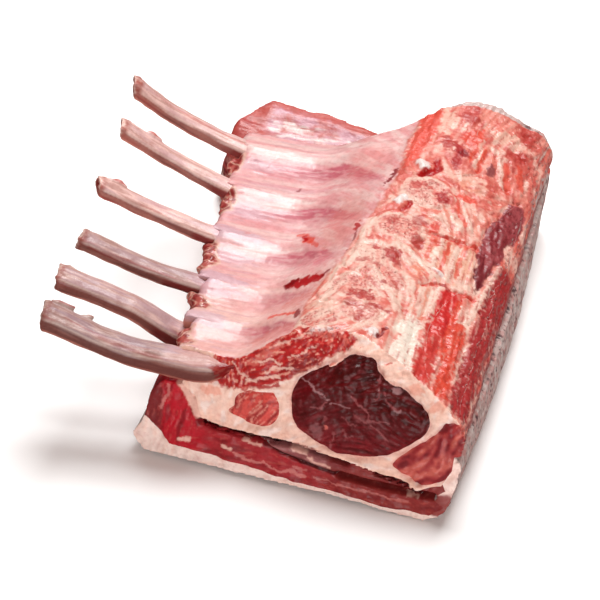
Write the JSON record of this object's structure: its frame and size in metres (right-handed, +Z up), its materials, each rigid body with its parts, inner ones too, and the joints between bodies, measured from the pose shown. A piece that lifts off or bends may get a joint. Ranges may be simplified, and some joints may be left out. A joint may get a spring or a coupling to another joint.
{
  "type": "raw rack of lamb",
  "caption": "Raw frenched rack of lamb lying on its fat cap, with bared rib bones, the sawn backbone side and the cut end with its eye muscle.",
  "frame": {"origin": "middle of the underside of the part's box, on the surface it lies on", "axes": "+Z up; +X towards the sawn backbone side, so the bared ribs point to -X; +Y along the rack, from the cut end with the eye muscle to the far end with the fat flap"},
  "size_m": [0.1684, 0.2122, 0.0715],
  "materials": {
    "bone": "damp bared rib bone with a thin pink film",
    "sawn_bone": "sawn porous backbone with red marrow",
    "fat": "damp cream fat and gristle",
    "inner_skin": "shiny thin skin over rib meat",
    "eye_meat": "very dark wet lean meat",
    "red_meat": "wet red meat marbled with fat",
    "cap_meat": "wet bright red lean meat",
    "pale_meat": "wet pink-grey lean meat"
  },
  "bodies": {
    "root": {"rib_1": "bone", "rib_2": "bone", "rib_3": "bone", "rib_4": "bone", "rib_5": "bone", "rib_6": "bone", "vertebra_1": "sawn_bone", "vertebra_2": "sawn_bone", "vertebra_3": "sawn_bone", "vertebra_4": "sawn_bone", "vertebra_5": "sawn_bone", "vertebra_6": "sawn_bone", "spinal_strip": "red_meat", "dark_muscle": "eye_meat", "neck_muscle": "red_meat", "shoulder_muscle": "red_meat", "rib_sheet": "inner_skin", "small_muscle": "red_meat", "eye_muscle": "eye_meat", "back_muscle": "red_meat", "cap_muscle": "cap_meat", "cap_strip": "pale_meat", "seam_fat": "fat", "fat_cap": "fat"}
  },
  "joints": []
}
